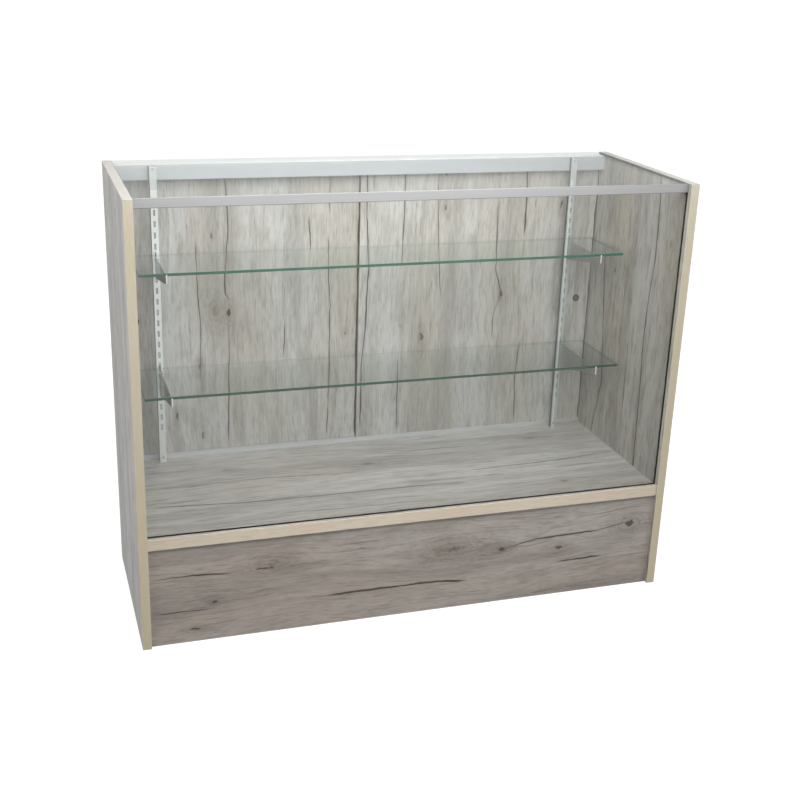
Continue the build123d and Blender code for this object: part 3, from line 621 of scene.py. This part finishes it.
# Painted shade: the inside of each channel, and a margin round each slot, are painted dark; the
# slots' painted shade is fainter on the right upright.
painted_shade_inside = (y > standard_front + face_skin) * (aside < inner_half)
rise = ((z - (slot_foot - slot_shade_margin)) / slot_pitch).part()
painted_slot_shade = (aside < slot_half + slot_shade_margin) * (rise < (slot_tall + 2 * slot_shade_margin) / slot_pitch)
painted_slot_shade = painted_slot_shade * (z > slot_foot - slot_shade_margin) * (z < slot_head + slot_shade_margin)
painted_shade_inside = painted_shade_inside.larger(painted_slot_shade * (1.0 - on_right * 0.8))
bloom = upright_zinc.noise(x * 260.0, y * 260.0, z * 60.0, 3.0)
bright = upright_zinc.mix(bloom, seen(240, 242, 240), seen(226, 229, 228))
satin = upright_zinc.mix(bloom, seen(216, 221, 218), seen(196, 203, 200))

# Painted light and shade: the right upright is painted in the darker satin tone except for
# a painted highlight line down its face, both are painted in that tone near their tops as
# painted shade, and each has its left flank painted dark as painted shade.
offset = x - on_right * (2 * standard_middle) + standard_middle
painted_shade_mask = (on_right * ((offset - highlight_middle).size() > highlight_half)).larger(z > painted_shade_above)
bright = upright_zinc.mix(painted_shade_mask, bright, satin)
bright = upright_zinc.mix(offset < painted_flank_edge, bright, seen(96, 101, 99))
upright_zinc.surface(
    upright_zinc.principled(
        Base_Color=upright_zinc.mix(painted_shade_inside, bright, seen(40, 42, 43)),
        Metallic=(1.0 - painted_shade_inside) * 0.35,
        Roughness=bloom * 0.14 + 0.28,
        Normal=upright_zinc.bump(bloom, 0.00005, 0.3),
    )
)
upright_zinc.coat("left_standard", "right_standard")
zinc("foot_zinc", 200.0, seen(226, 228, 230), 0.26).coat("standard_feet")
glint_depth = 0.0012
for level in ("upper", "lower"):
    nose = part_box(f"{level}_left_bracket")[0].y
    blade = Finish(f"{level}_bracket_zinc")
    x, y, z = blade.place()
    bloom = blade.noise(x * 400.0, y * 160.0, z * 160.0, 3.0)
    # Painted highlight: the front of each bracket's nose is painted near-white as a glint.
    painted_glint = y < nose + glint_depth
    # The left brackets are painted darker than the right ones, as painted shade.
    plate = blade.mix(
        x > 0.0,
        blade.mix(bloom, seen(156, 158, 158), seen(112, 115, 116)),
        blade.mix(bloom, seen(186, 188, 187), seen(148, 151, 151)),
    )
    blade.surface(
        blade.principled(
            Base_Color=blade.mix(painted_glint, plate, seen(250, 250, 250)),
            Metallic=1.0 - painted_glint * 0.7,
            Roughness=bloom * 0.16 + 0.22,
            Normal=blade.bump(bloom, 0.00005, 0.3),
        )
    )
    blade.coat(f"{level}_left_bracket", f"{level}_right_bracket")

# Cushions and shelves. Clear moulded vinyl saddles on the brackets keep the loose shelves,
# 6 mm glass with ground edges, from sliding and chattering.
cushion_vinyl = Finish("clear_vinyl")
x, y, z = cushion_vinyl.place()
haze = cushion_vinyl.noise(x * 300.0, y * 300.0, z * 300.0, 1.0)
cushion_vinyl.surface(
    cushion_vinyl.principled(
        Base_Color=cushion_vinyl.mix(haze, seen(226, 230, 228), seen(240, 242, 240)),
        Roughness=haze * 0.1 + 0.2,
        Alpha=0.6,
    )
)
cushion_vinyl.coat("upper_shelf_cushions", "lower_shelf_cushions")
green_glass = (0.966, 0.990, 0.974, 1.0)
shelf_clear = (0.978, 0.985, 0.980, 1.0)
shelf_edges = {
    "upper": (seen(38, 92, 72), seen(66, 140, 114)),
    # The lower shelf's edges are painted darker than the upper's, as painted shade.
    "lower": (seen(30, 66, 50), seen(50, 104, 82)),
}
for level in ("upper", "lower"):
    sheet_glass(
        f"{level}_shelf_pane", f"{level}_shelf",
        ((0, -1, 0.4), (0, 1, 0.25), (1, -1, 1.0), (1, 1, 0.1)), 0.55, green_glass,
        shelf_clear, shelf_edges[level],
    ).coat(f"{level}_shelf")

# Sliding doors. Thin hardboard with the same laminate, grain upright: the left door in
# the rear groove, the right one in front, each with a round finger pull near its outer edge.
hardboard_core = (seen(176, 156, 132), seen(150, 128, 104))
door_tones = (
    seen(210, 210, 208),
    seen(198, 193, 183),
    seen(169, 166, 160),
    seen(142, 131, 117),
    seen(58, 51, 43),
)
barnwood(
    "left_door_laminate", 2, 0, 1, 51.0, door_tones,
    (
        (((0.633, -0.334), (0.652, -0.345), (0.681, -0.346), (0.735, -0.342), (0.800, -0.336),
          (0.858, -0.338), (0.930, -0.341)), 0.0016),
        (((0.266, -0.344), (0.391, -0.340), (0.470, -0.340), (0.529, -0.338), (0.585, -0.339)),
         0.0011),
        (((0.440, -0.409), (0.578, -0.403), (0.665, -0.410), (0.778, -0.411)), 0.0011),
        (((0.483, -0.209), (0.541, -0.204), (0.588, -0.203)), 0.0010),
        (((0.739, -0.142), (0.839, -0.146)), 0.0012),
        (((0.829, -0.097), (0.935, -0.096)), 0.0010),
        # This line is painted shadow: the dark strip that the right door's edge throws on the
        # left door beside the seam.
        (((0.258, -0.0252), (0.600, -0.0250), (0.945, -0.0252)), 0.0026),
        (((0.270, -0.097), (0.401, -0.094), (0.495, -0.093), (0.612, -0.093), (0.669, -0.097),
          (0.783, -0.099)), 0.0012),
    ),
    (
        ((0.606, -0.337), (0.017, 0.007), 1.0, 1.0),
        ((0.612, -0.372), (0.020, 0.010), 0.15, 0.9),
        ((0.791, -0.375), (0.010, 0.004), 0.6, 0.6),
        ((0.302, -0.405), (0.014, 0.005), 0.6, 0.6),
        ((0.357, -0.465), (0.014, 0.003), 0.8, 0.8),
        ((0.479, -0.408), (0.012, 0.004), 0.6, 0.6),
        ((0.539, -0.054), (0.005, 0.003), 0.7, 0.7),
    ),
    hardboard_core, wear=0.85,
).coat("left_door")
barnwood(
    "right_door_laminate", 2, 0, 1, 64.0, door_tones,
    (
        (((0.289, -0.013), (0.452, -0.014), (0.511, -0.008), (0.564, -0.005), (0.661, -0.002),
          (0.702, 0.000), (0.827, -0.008), (0.940, -0.008)), 0.0015),
        (((0.691, 0.082), (0.811, 0.085), (0.940, 0.084)), 0.0011),
        (((0.267, 0.083), (0.399, 0.081), (0.480, 0.081)), 0.0010),
        (((0.770, 0.128), (0.820, 0.127)), 0.0015),
        (((0.611, 0.187), (0.784, 0.172), (0.940, 0.168)), 0.0008),
        (((0.500, 0.329), (0.564, 0.328), (0.618, 0.345), (0.685, 0.328), (0.736, 0.327),
          (0.860, 0.323)), 0.0011),
        (((0.760, 0.398), (0.855, 0.398), (0.940, 0.394)), 0.0018),
        (((0.266, 0.405), (0.402, 0.398), (0.494, 0.406)), 0.0013),
        # This line is painted shade in the corner where the right door meets the right side
        # panel.
        (((0.258, 0.5878), (0.600, 0.5874), (0.950, 0.5878)), 0.0014),
    ),
    (
        ((0.517, 0.141), (0.018, 0.007), 0.8, 0.8),
        ((0.618, 0.347), (0.012, 0.006), 0.8, 0.8),
        ((0.842, 0.189), (0.012, 0.004), 0.7, 0.7),
        ((0.921, 0.187), (0.010, 0.004), 0.7, 0.7),
        ((0.840, 0.493), (0.012, 0.005), 0.8, 0.8),
    ),
    hardboard_core, wear=0.85,
).coat("right_door")

# Finger pulls. Round cups moulded in dark plastic, pressed through the doors, each with a
# rim round its bowl.
bowl_radius = 0.0062
for side in ("left", "right"):
    low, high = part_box(f"{side}_door_pull")
    pull = Finish(f"{side}_pull_plastic")
    x, y, z = pull.place()
    across, up = x - (low.x + high.x) / 2, z - (low.z + high.z) / 2
    out = (across * across + up * up) ** 0.5
    speck = pull.noise(x * 800.0, y * 800.0, z * 800.0, 2.0)
    tone = pull.mix(out > bowl_radius, seen(112, 102, 98), seen(70, 62, 60))
    pull.surface(
        pull.principled(
            Base_Color=pull.mix(speck * 0.3, tone, seen(128, 116, 110)),
            Roughness=speck * 0.1 + 0.32,
            Normal=pull.bump(speck, 0.00005, 0.3),
        )
    )
    pull.coat(f"{side}_door_pull")

# Room. A plain white floor that keeps the case's shadow, and a surround that looks white but
# lights it only softly, more from overhead. One lamp hangs close over the front edge, one on
# the right throws the doors' shadow, and four fill the ends and the back.
floor_reach = 60.0
floor_mesh = bpy.data.meshes.new("floor")
floor_mesh.from_pydata(
    [(x * floor_reach, y * floor_reach, 0) for x, y in ((-1, -1), (1, -1), (1, 1), (-1, 1))],
    [],
    [(0, 1, 2, 3)],
)
floor = bpy.data.objects.new("floor", floor_mesh)
bpy.context.scene.collection.objects.link(floor)


def watched(finish):
    """1 for the rays that show the surround itself: to the camera, by a mirror, or through
    glass. 0 for those that light the case."""
    first, second, third = (
        finish.node("ShaderNodeLightPath", out=f"Is {kind} Ray")
        for kind in ("Camera", "Glossy", "Transmission")
    )
    return first.larger(second).larger(third)


floor_finish = Finish("floor_white")
x, y, z = floor_finish.place()
afar = ((x * x + y * y) ** 0.5 * 0.25 - 0.25).held()
shine = watched(floor_finish) * (afar * 0.06 + 0.90)
floor_finish.surface(
    floor_finish.node(
        "ShaderNodeAddShader",
        {},
        {
            0: floor_finish.node("ShaderNodeBsdfDiffuse", {}, {"Color": (0.24, 0.24, 0.24, 1)}),
            1: floor_finish.node("ShaderNodeEmission", {}, {"Strength": shine}),
        },
    )
)
floor_mesh.materials.append(floor_finish.owner)

surround = Finish("surround", bpy.data.worlds)
bpy.context.scene.world = surround.owner
toward = surround.node("ShaderNodeTexCoord", out="Generated")
above = surround.node("ShaderNodeSeparateXYZ", {}, {0: toward}, 2).held()
overhead_light, level_light = 0.46, 0.06
dome = above * overhead_light + level_light
shown = watched(surround)
strength = shown + (1.0 - shown) * dome
glow = surround.node(
    "ShaderNodeBackground", {}, {"Color": (1, 1, 1, 1), "Strength": strength}
)
surround.node("ShaderNodeOutputWorld", {}, {"Surface": glow})


def lamp(name, place, target, breadth, power):
    """A square area lamp at place, turned to face target."""
    data = bpy.data.lights.new(name, "AREA")
    data.size = breadth
    data.energy = power
    made = bpy.data.objects.new(name, data)
    bpy.context.scene.collection.objects.link(made)
    made.rotation_euler = (Vector(place) - Vector(target)).to_track_quat("Z", "Y").to_euler()
    made.location = place
    made.visible_camera = False


lamp("front_lamp", (0.0, -0.48, 1.38), (0.0, 0.05, 0.75), 1.1, 12.8)
lamp("right_lamp", (2.4, -1.8, 2.3), (0.0, 0.0, 0.6), 0.8, 14.0)
lamp("left_lamp", (-1.75, -0.55, 1.5), (0.0, 0.0, 0.8), 0.8, 13.0)
lamp("rear_lamp", (0.6, 2.2, 3.2), (0.0, 0.0, 0.5), 1.4, 20.0)
lamp("low_rear_lamp", (0.1, 2.5, 0.75), (0.0, 0.2, 0.5), 1.0, 17.0)
lamp("low_right_lamp", (2.3, 0.35, 0.75), (0.6, 0.0, 0.5), 1.0, 17.0)

# Camera. It stands a little left of the case and above it, and looks down; its place, its
# turn and its focal length in pixels are those fitted to the corners in the photograph.
eye = (-0.8174, -2.5307, 1.4223)
yaw, pitch, roll = (math.radians(angle) for angle in (18.323, -20.274, 1.989))
focal_pixels, picture_pixels, sensor = 1225.3, 800, 36.0
ahead = np.array(
    [math.sin(yaw) * math.cos(pitch), math.cos(yaw) * math.cos(pitch), math.sin(pitch)]
)
level = np.array([math.cos(yaw), -math.sin(yaw), 0.0])
upward = np.cross(level, ahead)
right = level * math.cos(roll) + upward * math.sin(roll)
up = upward * math.cos(roll) - level * math.sin(roll)
camera = bpy.data.objects.new("camera", bpy.data.cameras.new("camera"))
bpy.context.scene.collection.objects.link(camera)
camera.data.sensor_width = sensor
camera.data.lens = sensor * focal_pixels / picture_pixels
camera.data.clip_end = 200.0
turn = Matrix([[*row] for row in np.stack([right, up, -ahead], 1).tolist()])
camera.matrix_world = Matrix.Translation(eye) @ turn.to_4x4()
bpy.context.scene.camera = camera
bpy.context.scene.view_settings.view_transform = "Standard"
